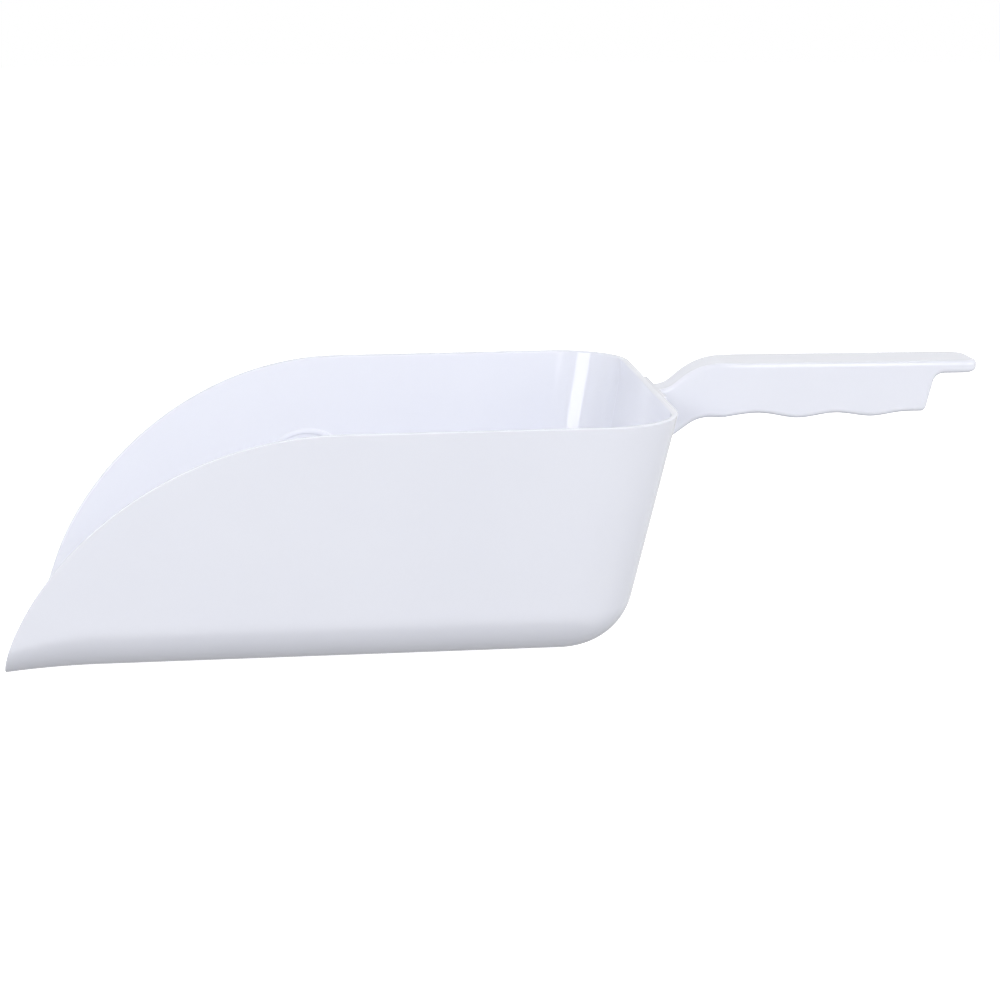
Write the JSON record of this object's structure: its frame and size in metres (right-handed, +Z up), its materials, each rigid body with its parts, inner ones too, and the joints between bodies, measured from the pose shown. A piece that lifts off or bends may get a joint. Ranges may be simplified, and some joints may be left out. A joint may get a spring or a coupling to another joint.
{
  "type": "feed scoop",
  "caption": "Open scoop with a deep straight-sided bowl, a sweeping mouth and a finger-grip handle seated on the back wall.",
  "frame": {"origin": "centre of the bounding box at the level of the floor that the scoop rests on", "axes": "+Z up, +X from the nose of the bowl to the end of the handle, +Y to the right of someone who holds the handle and faces the nose"},
  "size_m": [0.368, 0.1626, 0.0983],
  "materials": {
    "moulded_plastic": "smooth glossy white moulded polypropylene with a faint cool tint"
  },
  "bodies": {
    "root": {"bowl": "moulded_plastic", "handle": "moulded_plastic"}
  },
  "joints": []
}
